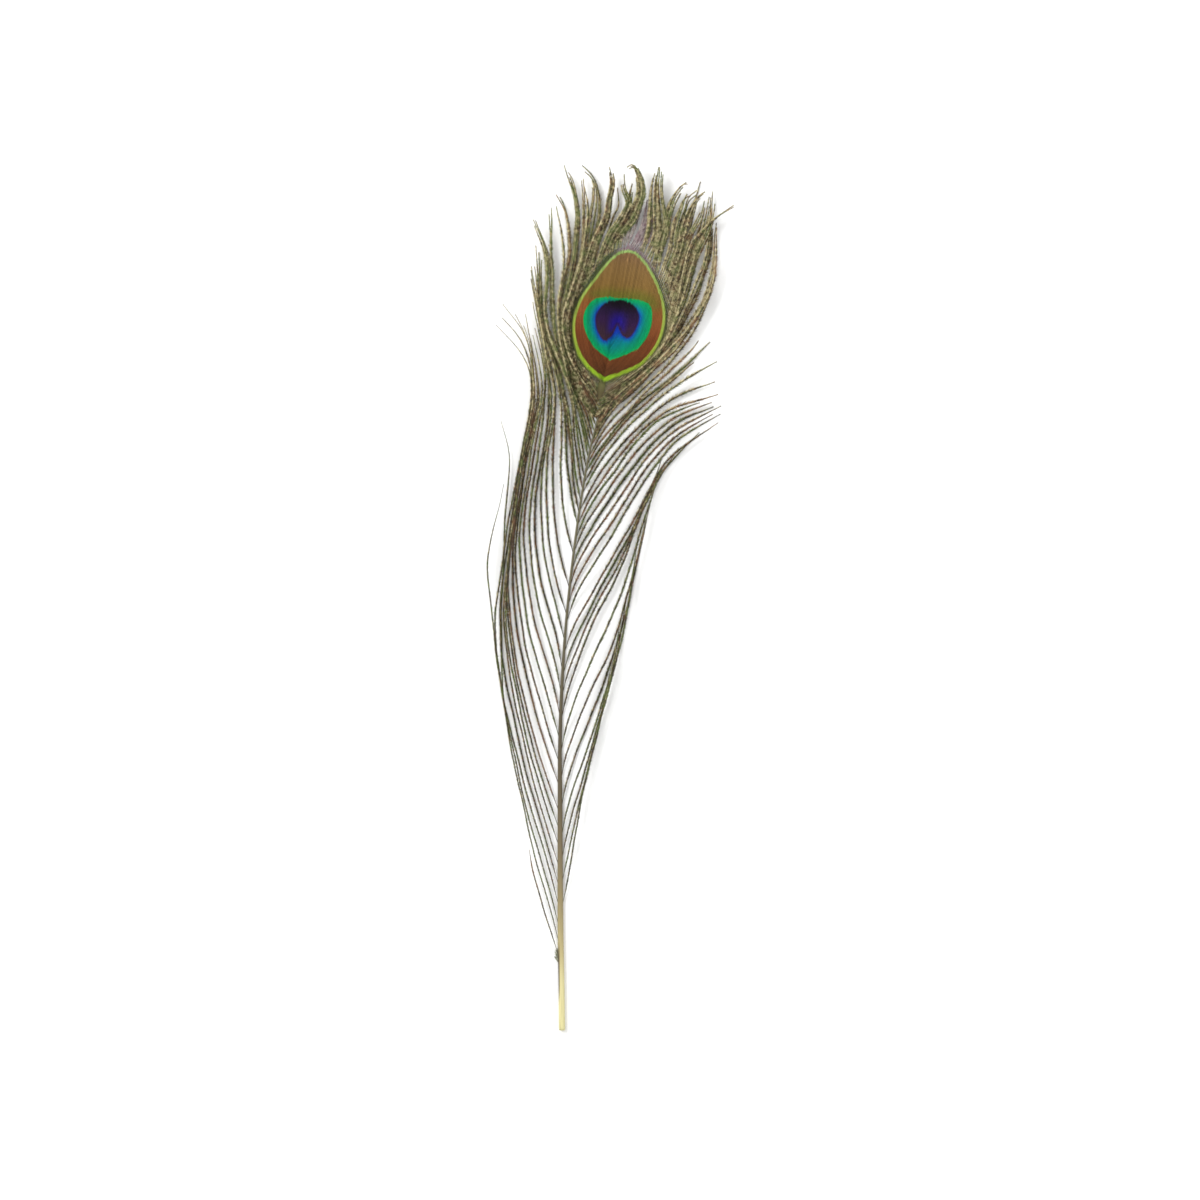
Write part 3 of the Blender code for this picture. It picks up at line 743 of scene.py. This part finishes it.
def lay_out_faces(mesh):
    """Give every face its own small cell of a UV map, so that each barbule can keep its own colour."""
    count = len(mesh.polygons)
    totals = np.empty(count, np.int32)
    mesh.polygons.foreach_get("loop_total", totals)
    face = np.repeat(np.arange(count), totals)
    corner = np.arange(len(face)) - np.repeat(np.cumsum(totals) - totals, totals)
    angle = math.tau * corner / totals[face]
    cells = math.ceil(math.sqrt(count))
    across = (face % cells + 0.5 + 0.4 * np.cos(angle)) / cells
    up = (face // cells + 0.5 + 0.4 * np.sin(angle)) / cells
    layer = mesh.uv_layers.new(name="OFBake")
    layer.data.foreach_set("uv", np.stack([across, up], axis=1).astype(np.float32).ravel())


def lay_out_flat(mesh):
    """Give a mesh that lies flat a UV map seen from straight above."""
    places = np.empty(len(mesh.vertices) * 3, np.float32)
    mesh.vertices.foreach_get("co", places)
    places = places.reshape(-1, 3)[:, :2]
    corners = np.empty(len(mesh.loops), np.int32)
    mesh.loops.foreach_get("vertex_index", corners)
    low = places.min(axis=0)
    side = (places.max(axis=0) - low).max()
    layer = mesh.uv_layers.new(name="OFBake")
    layer.data.foreach_set("uv", ((places[corners] - low) / side).astype(np.float32).ravel())


def finish_piece(piece, slot, *nodes):
    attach(piece, "root")
    if nodes:
        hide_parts(*nodes)


def wavy(route, rng, size):
    """Move a route sideways in slow small waves, as a barb that dried does."""
    share = np.linspace(0.0, 1.0, len(route))
    length = route_length(route)
    ahead = np.gradient(route[:, :2], axis=0)
    ahead /= np.linalg.norm(ahead, axis=1, keepdims=True)
    aside = np.stack([-ahead[:, 1], ahead[:, 0]], axis=1)
    sway = np.zeros(len(route))
    for wave in WAVE_LENGTHS:
        phase = rng.uniform(0, math.tau)
        sway += size * wave / WAVE_LENGTHS[0] * np.sin(share * length / wave * math.tau + phase)
    moved = route.copy()
    moved[:, :2] += aside * (sway * smooth_step(share / WAVES_FROM))[:, None]
    return moved


def end_unevenly(route, extra):
    """Make a route longer or shorter at its tip, by an extra length in millimetres."""
    ahead = route[-1] - route[-4]
    longer = np.concatenate([route, [route[-1] + ahead / np.linalg.norm(ahead) * max(extra, 0.01)]])
    wanted = (route_length(route) + extra) / route_length(longer)
    fine = evenly_spaced(longer, 8 * len(route))
    return evenly_spaced(fine[:max(int(wanted * len(fine)), 8)], len(route))


def herl(route, heights, rng, radius=0.13, fluff=1.0, bare=2.5):
    """One barb for grow_herls, from its route and heights in millimetres."""
    length = route_length(route)
    share = np.linspace(0.0, 1.0, len(route))
    points = np.array([place(x, y, z) for (x, y), z in zip(route, heights)])
    radii = radius * (1.0 - STEM_TAPER * share) * MM
    grown = smooth_step((share * length - bare * BARBULES_START) / (bare * BARBULES_GROW_OVER))
    grown = grown * rising(FOOT_FULLNESS, share / FULL_FROM)
    worn = 1.0 - TIP_WEAR * smooth_step((share - WORN_FROM) / (1.0 - WORN_FROM))
    return points, radii, fluff * np.maximum(grown * worn, LEAST_FULLNESS), rng.random()


# ---------------------------------------------------------------- the shaft

def make_shaft(material):
    """The shaft: a tapering rod with a shallow groove down its upper side and a hollow in its cut end."""
    line = evenly_spaced(SHAFT_LINE, SHAFT_RINGS)
    rng = random.Random(SEED)
    ahead = np.gradient(line, axis=0)
    ahead /= np.linalg.norm(ahead, axis=1, keepdims=True)
    rings = []
    for (x, y), (dx, dy) in zip(line, ahead):
        half = between(SHAFT_WIDTHS, y) / 2
        ring = []
        for side in range(SHAFT_SIDES):
            angle = math.tau * side / SHAFT_SIDES
            across = math.cos(angle)
            up = 2 * SHAFT_HEIGHT_TO_WIDTH * half * (0.5 + 0.5 * math.sin(angle)) ** SHAFT_SWELL
            groove = GROOVE_DEPTH * half * math.exp(-(across / GROOVE_WIDTH) ** 2)
            groove = groove if math.sin(angle) > 0 else 0.0
            wobble = 1.0 + rng.uniform(-SHAFT_WOBBLE, SHAFT_WOBBLE)
            ring.append((x + dy * across * half * wobble, y - dx * across * half * wobble, up - groove))
        rings.append(ring)
    vertices = [place(*point) for ring in rings for point in ring]
    faces = []
    for row in range(len(rings) - 1):
        for side in range(SHAFT_SIDES):
            following = (side + 1) % SHAFT_SIDES
            faces.append((row * SHAFT_SIDES + side, row * SHAFT_SIDES + following,
                          (row + 1) * SHAFT_SIDES + following, (row + 1) * SHAFT_SIDES + side))
    # The cut end shows the quill's wall round a small hollow.
    x, y = line[0]
    half = between(SHAFT_WIDTHS, 0.0) / 2
    inner = len(vertices)
    for depth in (HOLLOW_LIP, HOLLOW_DEPTH):
        for side in range(SHAFT_SIDES):
            angle = math.tau * side / SHAFT_SIDES
            vertices.append(place(x + HOLLOW_WIDTH * half * math.cos(angle), y + depth,
                                  half * SHAFT_HEIGHT_TO_WIDTH * (1.0 + 0.5 * math.sin(angle))))
    for side in range(SHAFT_SIDES):
        following = (side + 1) % SHAFT_SIDES
        faces.append((following, side, inner + side, inner + following))
        faces.append((inner + following, inner + side, inner + SHAFT_SIDES + side,
                      inner + SHAFT_SIDES + following))
    faces.append(tuple(inner + SHAFT_SIDES + side for side in reversed(range(SHAFT_SIDES))))
    last = (len(rings) - 1) * SHAFT_SIDES
    faces.append(tuple(last + side for side in range(SHAFT_SIDES)))
    mesh = bpy.data.meshes.new("quill_and_shaft")
    mesh.from_pydata(vertices, [], faces)
    mesh.shade_smooth()
    mesh.materials.append(material)
    piece = new_object("quill_and_shaft", mesh)
    finish_piece(piece, "shaft", "shaft")


# ---------------------------------------------------------------- loose barbs

def loose_heights(share, distance, layer):
    """A loose barb's heights along it: from the side of the shaft down or up to its own layer."""
    shaft_height = between(SHAFT_WIDTHS, distance) * SHAFT_HEIGHT_TO_WIDTH
    root = max(shaft_height * ROOT_UP_SHAFT, BARB_RADIUS)
    settled = smooth_step(share / SETTLED_FROM)
    return (1.0 - settled) * root + settled * (BARB_RADIUS + layer * LAYER_HEIGHT)


def make_loose_barbs(label, roots, guides, side, material):
    """One piece for each loose barb that has a solid of its own."""
    for number, distance in enumerate(roots, start=1):
        rng = np.random.default_rng([SEED, number, side + 1])
        route = wavy(barb_route(distance, guides, side), rng, LOOSE_SWAY)
        route = end_unevenly(route, rng.uniform(*LONGER_BY))
        share = np.linspace(0.0, 1.0, len(route))
        heights = loose_heights(share, distance, LAYER_ORDER[number % len(LAYER_ORDER)])
        fullness = between(FULLNESS, distance)
        barb = herl(route, heights, rng, radius=between(STEM_RADIUS, distance), fluff=fullness,
                    bare=between(BARE_LENGTH, distance))
        piece = grow_herls(f"herl_{label}_{number:02d}", [barb], material, number)
        finish_piece(piece, "barb", f"barb_{label}_{number:02d}")


def make_quill_tuft(material):
    """The last wisp of down that is left at the foot, on the left of the quill."""
    rng = np.random.default_rng([SEED, 60])
    herls = []
    for number in range(TUFT_BARBS):
        foot = rng.uniform(*TUFT_FOOT)
        lean = rng.uniform(*TUFT_LEAN)
        high = rng.uniform(*TUFT_HEIGHT)
        x = shaft_side(foot) - between(SHAFT_WIDTHS, foot) / 2 + 0.1
        middle = (x - TUFT_MIDDLE[0] * lean, foot + TUFT_MIDDLE[1] * high)
        route = smooth_route(((x, foot), middle, (x - lean, foot + high)))
        route = evenly_spaced(route, TUFT_POINTS)
        share = np.linspace(0.0, 1.0, len(route))
        heights = TUFT_Z + rng.uniform(*TUFT_RISE) * share
        herls.append(herl(route, heights, rng, radius=0.05, fluff=0.45, bare=0.3))
    piece = grow_herls("quill_tuft", herls, material, 95)
    finish_piece(piece, "barb")


def make_extra_barbs(label, roots, guides, side, material):
    """The barbs between the others near the eye, in one piece a side."""
    rng = np.random.default_rng([SEED, 50, side + 1])
    herls = []
    for distance in roots:
        route = wavy(barb_route(distance, guides, side, EXTRA_GATHER[side]), rng, EXTRA_SWAY)
        cut = int(len(route) * rng.uniform(*EXTRA_KEPT))
        route = evenly_spaced(route[:cut], ROUTE_POINTS)
        share = np.linspace(0.0, 1.0, len(route))
        heights = loose_heights(share, distance, rng.uniform(*EXTRA_LAYERS))
        herls.append(herl(route, heights, rng, fluff=between(FULLNESS, distance),
                          bare=between(BARE_LENGTH, distance)))
    piece = grow_herls(f"near_eye_herls_{label}", herls, material, 90 + side)
    finish_piece(piece, "barb")


# ---------------------------------------------------------------- the eye and its fringe

def from_eye(u, v):
    """Feather coordinates of a point given in the eye's own frame."""
    cos, sin = math.cos(EYE_TILT), math.sin(EYE_TILT)
    return EYE_CENTRE[0] + u * cos + v * sin, EYE_CENTRE[1] - u * sin + v * cos


def to_eye(x, y):
    cos, sin = math.cos(EYE_TILT), math.sin(EYE_TILT)
    x, y = x - EYE_CENTRE[0], y - EYE_CENTRE[1]
    return x * cos - y * sin, x * sin + y * cos


AT_ONCE = 20000  # points measured in one go


def depth_inside(outline, u, v):
    """How far each point lies inside a closed outline, in millimetres; less than 0 outside it."""
    right, left = outline
    edge = np.concatenate([smooth_route(right)[:-1], smooth_route(left)[:0:-1]])
    depths = np.empty(len(u))
    start, end = edge, np.roll(edge, -1, axis=0)
    run = end - start
    for first in range(0, len(u), AT_ONCE):
        part = np.stack([u[first:first + AT_ONCE], v[first:first + AT_ONCE]], axis=1)[:, None, :]
        share = np.clip(((part - start) * run).sum(2) / (run * run).sum(1), 0.0, 1.0)
        nearest = np.sqrt((((start + run * share[:, :, None]) - part) ** 2).sum(2)).min(1)
        above = (start[:, 1] > part[..., 1]) != (end[:, 1] > part[..., 1])
        rise = np.where(run[:, 1] == 0.0, 1.0, run[:, 1])
        crossing = start[:, 0] + (part[..., 1] - start[:, 1]) * run[:, 0] / rise
        inside = (above & (part[..., 0] < crossing)).sum(1) % 2 == 1
        depths[first:first + AT_ONCE] = np.where(inside, nearest, -nearest)
    return depths


def flow_root(share):
    """How far up the eye's frame a barb leaves the shaft."""
    return SHAFT_END_V - (SHAFT_END_V - SHARE_ONE_ROOT_V) * share


def flow(side, share, v):
    """How far across the eye's frame a barb is, at heights v."""
    bend = FLOW_BEND[0] + FLOW_BEND[1] * share
    spread = 1.0 - np.exp(-np.maximum(v - flow_root(share), 0.0) / bend)
    width = FLOW_WIDTH[side] * between(FLOW_NARROWING[side], v)
    return between(AXIS_SHIFT, v) + side * share * width * spread


def eye_barb_routes():
    """The eye's barbs, from left to right: the lock that each ends in, how high it lifts and its route."""
    rng = np.random.default_rng([SEED, 200])
    counts = {side: sum(lock[1] for lock in FRINGE if lock[0] == side) for side in (-1, 1)}
    barbs = []
    place_in_side = {-1: 0, 1: 0}
    for number, (side, count, width, lift, points) in enumerate(FRINGE):
        for member in range(count):
            order = place_in_side[side]
            place_in_side[side] += 1
            from_axis = counts[side] - 1 - order if side < 0 else order
            share = OUTER_SHARE * (from_axis + 0.5) / counts[side]
            parts_at = LOCKS_FROM - LOCKS_LOWER_BY * min(share, LOCKS_LOWEST_AT) ** 2
            heights = np.linspace(flow_root(share), parts_at, FLOW_POINTS)
            route = [from_eye(u, v) for u, v in zip(flow(side, share, heights), heights)]
            across = (member + 0.5) / count - 0.5 + rng.normal(0.0, LOCK_SCATTER)
            for step, (x, y) in enumerate(points):
                if to_eye(x, y)[1] < parts_at + LOCK_CLEARANCE:
                    continue
                along = step / (len(points) - 1)
                spread = width * (LOCK_FOOT_WIDTH - LOCK_NARROWING * along)
                x += across * spread
                x += rng.normal(0.0, STRAY_ACROSS)
                y -= abs(across) * LOCK_ROUNDING * along
                y += rng.normal(0.0, STRAY_UP) * along
                route.append((x, y))
            route = evenly_spaced(smooth_route(route), FRINGE_POINTS)
            barbs.append({"lock": number, "lift": lift, "route": route})
    return barbs


def web_height(u):
    """The height of the web, which is a shallow dome across the eye."""
    return WEB_HEIGHT + WEB_DOME * np.maximum(1.0 - (u / WEB_DOME_REACH) ** 2, 0.0)


def measure_web(barbs):
    """Where each barb's web ends, and how far it reaches towards its neighbours along it."""
    outline = (RING_RIGHT, RING_LEFT)
    for barb in barbs:
        u, v = to_eye(*barb["route"].T)
        margin = between(WEB_MARGIN, v)
        near = np.nonzero((depth_inside(outline, u, v) > -margin) & (v < WEB_TOP))[0]
        barb["web"] = (int(near[0]), int(near[-1]) + 1) if len(near) > WEB_LEAST else None
        barb["top"] = web_height(u)
    for number, barb in enumerate(barbs):
        for name, step in (("reach_left", -1), ("reach_right", 1)):
            if 0 <= number + step < len(barbs):
                gaps = barb["route"][:, None, :] - barbs[number + step]["route"][None, :, :]
                reach = np.sqrt((gaps ** 2).sum(2)).min(1) / 2
            else:
                reach = np.full(FRINGE_POINTS, OUTER_REACH)
            barb[name] = np.clip(reach, *WEB_REACH)


def web_strips(barbs, rng):
    """Each barb's share of the web: a thin strip with a ridge, closed all round."""
    vertices, faces, tones_and_painted_shade, shifts = [], [], [], []
    for barb in barbs:
        if barb["web"] is None:
            continue
        begin, end = barb["web"]
        count = end - begin
        route = barb["route"][begin:end]
        ahead = np.gradient(route, axis=0)
        ahead /= np.linalg.norm(ahead, axis=1, keepdims=True)
        right = np.stack([ahead[:, 1], -ahead[:, 0]], axis=1)
        closing = rising(STRIP_TIP_WIDTH, (count - 1 - np.arange(count)) / STRIP_CLOSES_OVER)
        opens_over = STRIP_OPENS_AT_SHAFT if begin == 0 else STRIP_OPENS_OVER
        opening = smooth_step((np.arange(count) + 1.0) / opens_over)
        reach_left = barb["reach_left"][begin:end]
        reach_right = barb["reach_right"][begin:end]
        from_left = route - right * (reach_left * closing * opening * STRIP_OVERLAP)[:, None]
        from_right = route + right * (reach_right * closing * opening * STRIP_OVERLAP)[:, None]
        height = barb["top"][begin:end]
        tone = rng.uniform(*STRIP_TONES)
        shift = rng.normal(0.0, STRIP_EDGE_SCATTER)
        first = len(vertices)
        for left_edge, middle, right_edge, z in zip(from_left, route, from_right, height):
            for point, up in zip((left_edge, middle, right_edge, middle), STRIP_CORNERS):
                vertices.append(place(*point, z + up))
            # A strip's tone drifts at random along it, and its edges and underside get painted shade.
            drift = tone + rng.normal(0.0, TONE_SCATTER)
            tones_and_painted_shade += [drift + shade for shade in STRIP_PAINTED_SHADE]
            shifts += [shift] * 4
        for row in range(count - 1):
            corner = first + 4 * row
            for a in range(4):
                b = (a + 1) % 4
                faces.append((corner + a, corner + 4 + a, corner + 4 + b, corner + b))
        faces.append((first, first + 1, first + 2, first + 3))
        last = first + 4 * (count - 1)
        faces.append((last + 3, last + 2, last + 1, last))
    mesh = bpy.data.meshes.new("web_strips")
    mesh.from_pydata(vertices, [], faces)
    write_values(mesh, "tone_and_painted_shade", tones_and_painted_shade)
    write_values(mesh, "shift", shifts)
    return new_object("web_strips", mesh)


def web_barbules(barbs, material, rng):
    """The stems and barbules that lie on the web."""
    herls = []
    for barb in barbs:
        if barb["web"] is None:
            continue
        begin, end = barb["web"]
        height = barb["top"][begin:end] + WEB_STEM_UP
        points = np.array([place(x, y, z) for (x, y), z in zip(barb["route"][begin:end], height)])
        grown = smooth_step(np.arange(end - begin) / WEB_BARBULES_GROW_OVER)
        reach = np.minimum(barb["reach_left"], barb["reach_right"])[begin:end]
        fluff = np.clip(grown * (reach / WEB_FULL_REACH), *WEB_FULLNESS)
        radii = np.full(end - begin, WEB_STEM_RADIUS * MM)
        herls.append((points, radii, fluff, rng.normal(0.0, BARBULE_EDGE_SCATTER)))
    grown = grow_herls("web_barbules", herls, material, 300, spacing=0.30 * MM, length=0.55 * MM,
                       width=0.16 * MM, thickness=0.05 * MM, lean=math.radians(40.0),
                       rise=math.radians(6.0))
    mesh = grown.data
    count = len(mesh.vertices)
    shift, tint = np.empty(count, np.float32), np.empty(count, np.float32)
    mesh.attributes["hue"].data.foreach_get("value", shift)
    mesh.attributes["tint"].data.foreach_get("value", tint)
    for name in ("hue", "tint", "side", "fluff", "thickness", "OFBake"):
        mesh.attributes.remove(mesh.attributes[name])
    write_values(mesh, "tone_and_painted_shade", 0.25 + 0.75 * tint)
    write_values(mesh, "shift", shift)
    return grown


def join(name, pieces):
    """Join mesh objects, which lie at the origin, into the first of them."""
    with bpy.context.temp_override(active_object=pieces[0], selected_editable_objects=pieces,
                                   selected_objects=pieces):
        bpy.ops.object.join()
    pieces[0].name = name
    pieces[0].data.name = name
    return pieces[0]


def write_zones(mesh):
    """Give each point of the eye its depth inside each zone of colour, and its place in the eye."""
    count = len(mesh.vertices)
    places = np.empty(count * 3, np.float32)
    mesh.vertices.foreach_get("co", places)
    places = places.reshape(-1, 3).astype(float) / MM
    shift = np.empty(count, np.float32)
    mesh.attributes["shift"].data.foreach_get("value", shift)
    u, v = to_eye(places[:, 0], places[:, 1] + REST_POINT)
    v = v + shift
    write_values(mesh, "ring", depth_inside((RING_RIGHT, RING_LEFT), u, v))
    write_values(mesh, "teal", depth_inside((TEAL_RIGHT, TEAL_LEFT), u, v))
    write_values(mesh, "heart", depth_inside((HEART_RIGHT, HEART_LEFT), u, v))
    write_values(mesh, "up", v)
    write_values(mesh, "across", u)


def shaft_cover():
    """The narrow strip of web that hides the end of the shaft, as one more barb up the axis."""
    heights = np.linspace(COVER_REACH[0][0], COVER_REACH[-1][0], COVER_POINTS)
    across = between(AXIS_SHIFT, heights)
    route = np.array([from_eye(u, v) for u, v in zip(across, heights)])
    reach = between(COVER_REACH, heights)
    rise = rising(COVER_FOOT_HEIGHT, (heights - heights[0]) / COVER_RISES_OVER)
    return {"route": route, "top": (web_height(across) - COVER_SINK) * rise, "web": (0, COVER_POINTS),
            "reach_left": reach, "reach_right": reach}


def make_eye(barbs, material):
    """The eye: the strips edge to edge, with their barbules, coloured by zone."""
    rng = np.random.default_rng([SEED, 210])
    strips = web_strips([*barbs, shaft_cover()], rng)
    strips.data.materials.append(material)
    piece = join("eye_web", [strips, web_barbules(barbs, material, rng)])
    write_zones(piece.data)
    lay_out_flat(piece.data)
    finish_piece(piece, "eye", "eye")


def make_fringe(barbs, material, haze):
    """What shows of the eye's barbs outside its web, one piece for each lock.

    A barb shows from the shaft to the web and again from the web to its free tip.
    """
    rng = np.random.default_rng([SEED, 220])
    steps = np.arange(FRINGE_POINTS)
    left = np.linspace(1.0, 0.0, FRINGE_POINTS)
    for number, lock in enumerate(FRINGE):
        herls = []
        for barb in barbs:
            if barb["lock"] != number:
                continue
            web = barb["web"]
            leaves = web[1] if web else FRINGE_POINTS // 3
            height = barb["top"] + 0.1
            free = smooth_step((steps - leaves) / (FRINGE_POINTS - leaves))
            height = height + (barb["lift"] + rng.normal(0.0, LIFT_SCATTER) - height) * free
            height = height * rising(0.3, steps / 12.0)
            points = np.array([place(x, y, z) for (x, y), z in zip(barb["route"], height)])
            grown = rising(0.75, steps / 4.0)
            worn = rising(0.35, left / 0.25)
            past_web = rising(0.45, (steps - leaves) / 8.0) if web else 1.0
            fluff = grown * worn * past_web
            radii = (FRINGE_TIP_RADIUS + FRINGE_FOOT_THICKER * left) * MM
            hue = rng.uniform(*FRINGE_HUES)
            keep = int(FRINGE_POINTS * (rng.uniform(*FRINGE_KEPT) if lock[1] > 2 else 1.0))
            for first, last in ((0, web[0] + INTO_WEB), (web[1] - INTO_WEB, keep)) if web else ((0, keep),):
                if last - first >= FEWEST_POINTS:
                    herls.append((points[first:last], radii[first:last], fluff[first:last], hue))
        piece = grow_herls(f"fringe_{number + 1:02d}", herls, haze if number in HAZY_LOCKS else material,
                           400 + 30 * number)
        finish_piece(piece, "barb")


# ---------------------------------------------------------------- the floor, lights and camera

def make_stage():
    mesh = bpy.data.meshes.new("floor")
    mesh.from_pydata([(-3, -3, 0), (3, -3, 0), (3, 3, 0), (-3, 3, 0)], [], [(0, 1, 2, 3)])
    floor = new_object("floor", mesh)
    material, tree, shader = new_material("pale_floor")
    shader.inputs["Base Color"].default_value = linear("#F6F6F5")
    shader.inputs["Roughness"].default_value = 1.0
    shader.inputs["Specular IOR Level"].default_value = 0.0
    mesh.materials.append(material)

    world = bpy.data.worlds.new("studio")
    world.use_nodes = True
    world.node_tree.nodes["Background"].inputs[0].default_value = (1.0, 1.0, 1.0, 1.0)
    world.node_tree.nodes["Background"].inputs[1].default_value = 0.80
    bpy.context.scene.world = world
    for name, where, size, power in (
        ("window", (-0.9, 0.7, 1.1), 0.6, 16.0),
        ("fill", (0.9, -0.6, 1.4), 1.2, 6.0),
    ):
        light = bpy.data.lights.new(name, "AREA")
        light.size = size
        light.energy = power
        lamp = bpy.data.objects.new(name, light)
        lamp.location = where
        aim = Vector((0.013, 0.137, 0.0)) - Vector(where)
        lamp.rotation_euler = aim.to_track_quat("-Z", "Y").to_euler()
        bpy.context.scene.collection.objects.link(lamp)


VIEW_CENTRE = (13.1, 148.6)
VIEW_WIDTH = 414.7
CAMERA_HEIGHT = 1.6


def make_camera():
    """Straight above, far enough off that the feather is seen flat on."""
    data = bpy.data.cameras.new("camera")
    data.sensor_width = 36.0
    data.lens = data.sensor_width * CAMERA_HEIGHT / (VIEW_WIDTH * MM)
    camera = bpy.data.objects.new("camera", data)
    camera.location = place(*VIEW_CENTRE, CAMERA_HEIGHT / MM)
    bpy.context.scene.collection.objects.link(camera)
    bpy.context.scene.camera = camera


bpy.context.scene.view_settings.view_transform = "Standard"
make_camera()
make_stage()
HORN = shaft_horn()
HERL = herl_fluff("herl_fluff", "#2A2212", "#6E6240", "#D2C69A", "#5C7036", "#8E6448")
HAZE = herl_fluff("tip_haze_fluff", "#5A4C4A", "#85767A", "#B4A6A0", "#7A8462", "#94707A")
DOWN = herl_fluff("down_fluff", "#6A6C58", "#9A9C86", "#C8CAB8", "#8A9272", "#9A8A7A")
make_shaft(HORN)
make_quill_tuft(DOWN)
make_loose_barbs("left", LEFT_ROOTS, LEFT_GUIDES, -1, HERL)
make_loose_barbs("right", RIGHT_ROOTS, RIGHT_GUIDES, 1, HERL)
make_extra_barbs("left", LEFT_EXTRA_ROOTS, LEFT_GUIDES, -1, HERL)
make_extra_barbs("right", RIGHT_EXTRA_ROOTS, RIGHT_GUIDES, 1, HERL)
EYE_BARBS = eye_barb_routes()
measure_web(EYE_BARBS)
make_eye(EYE_BARBS, eye_web())
make_fringe(EYE_BARBS, HERL, HAZE)
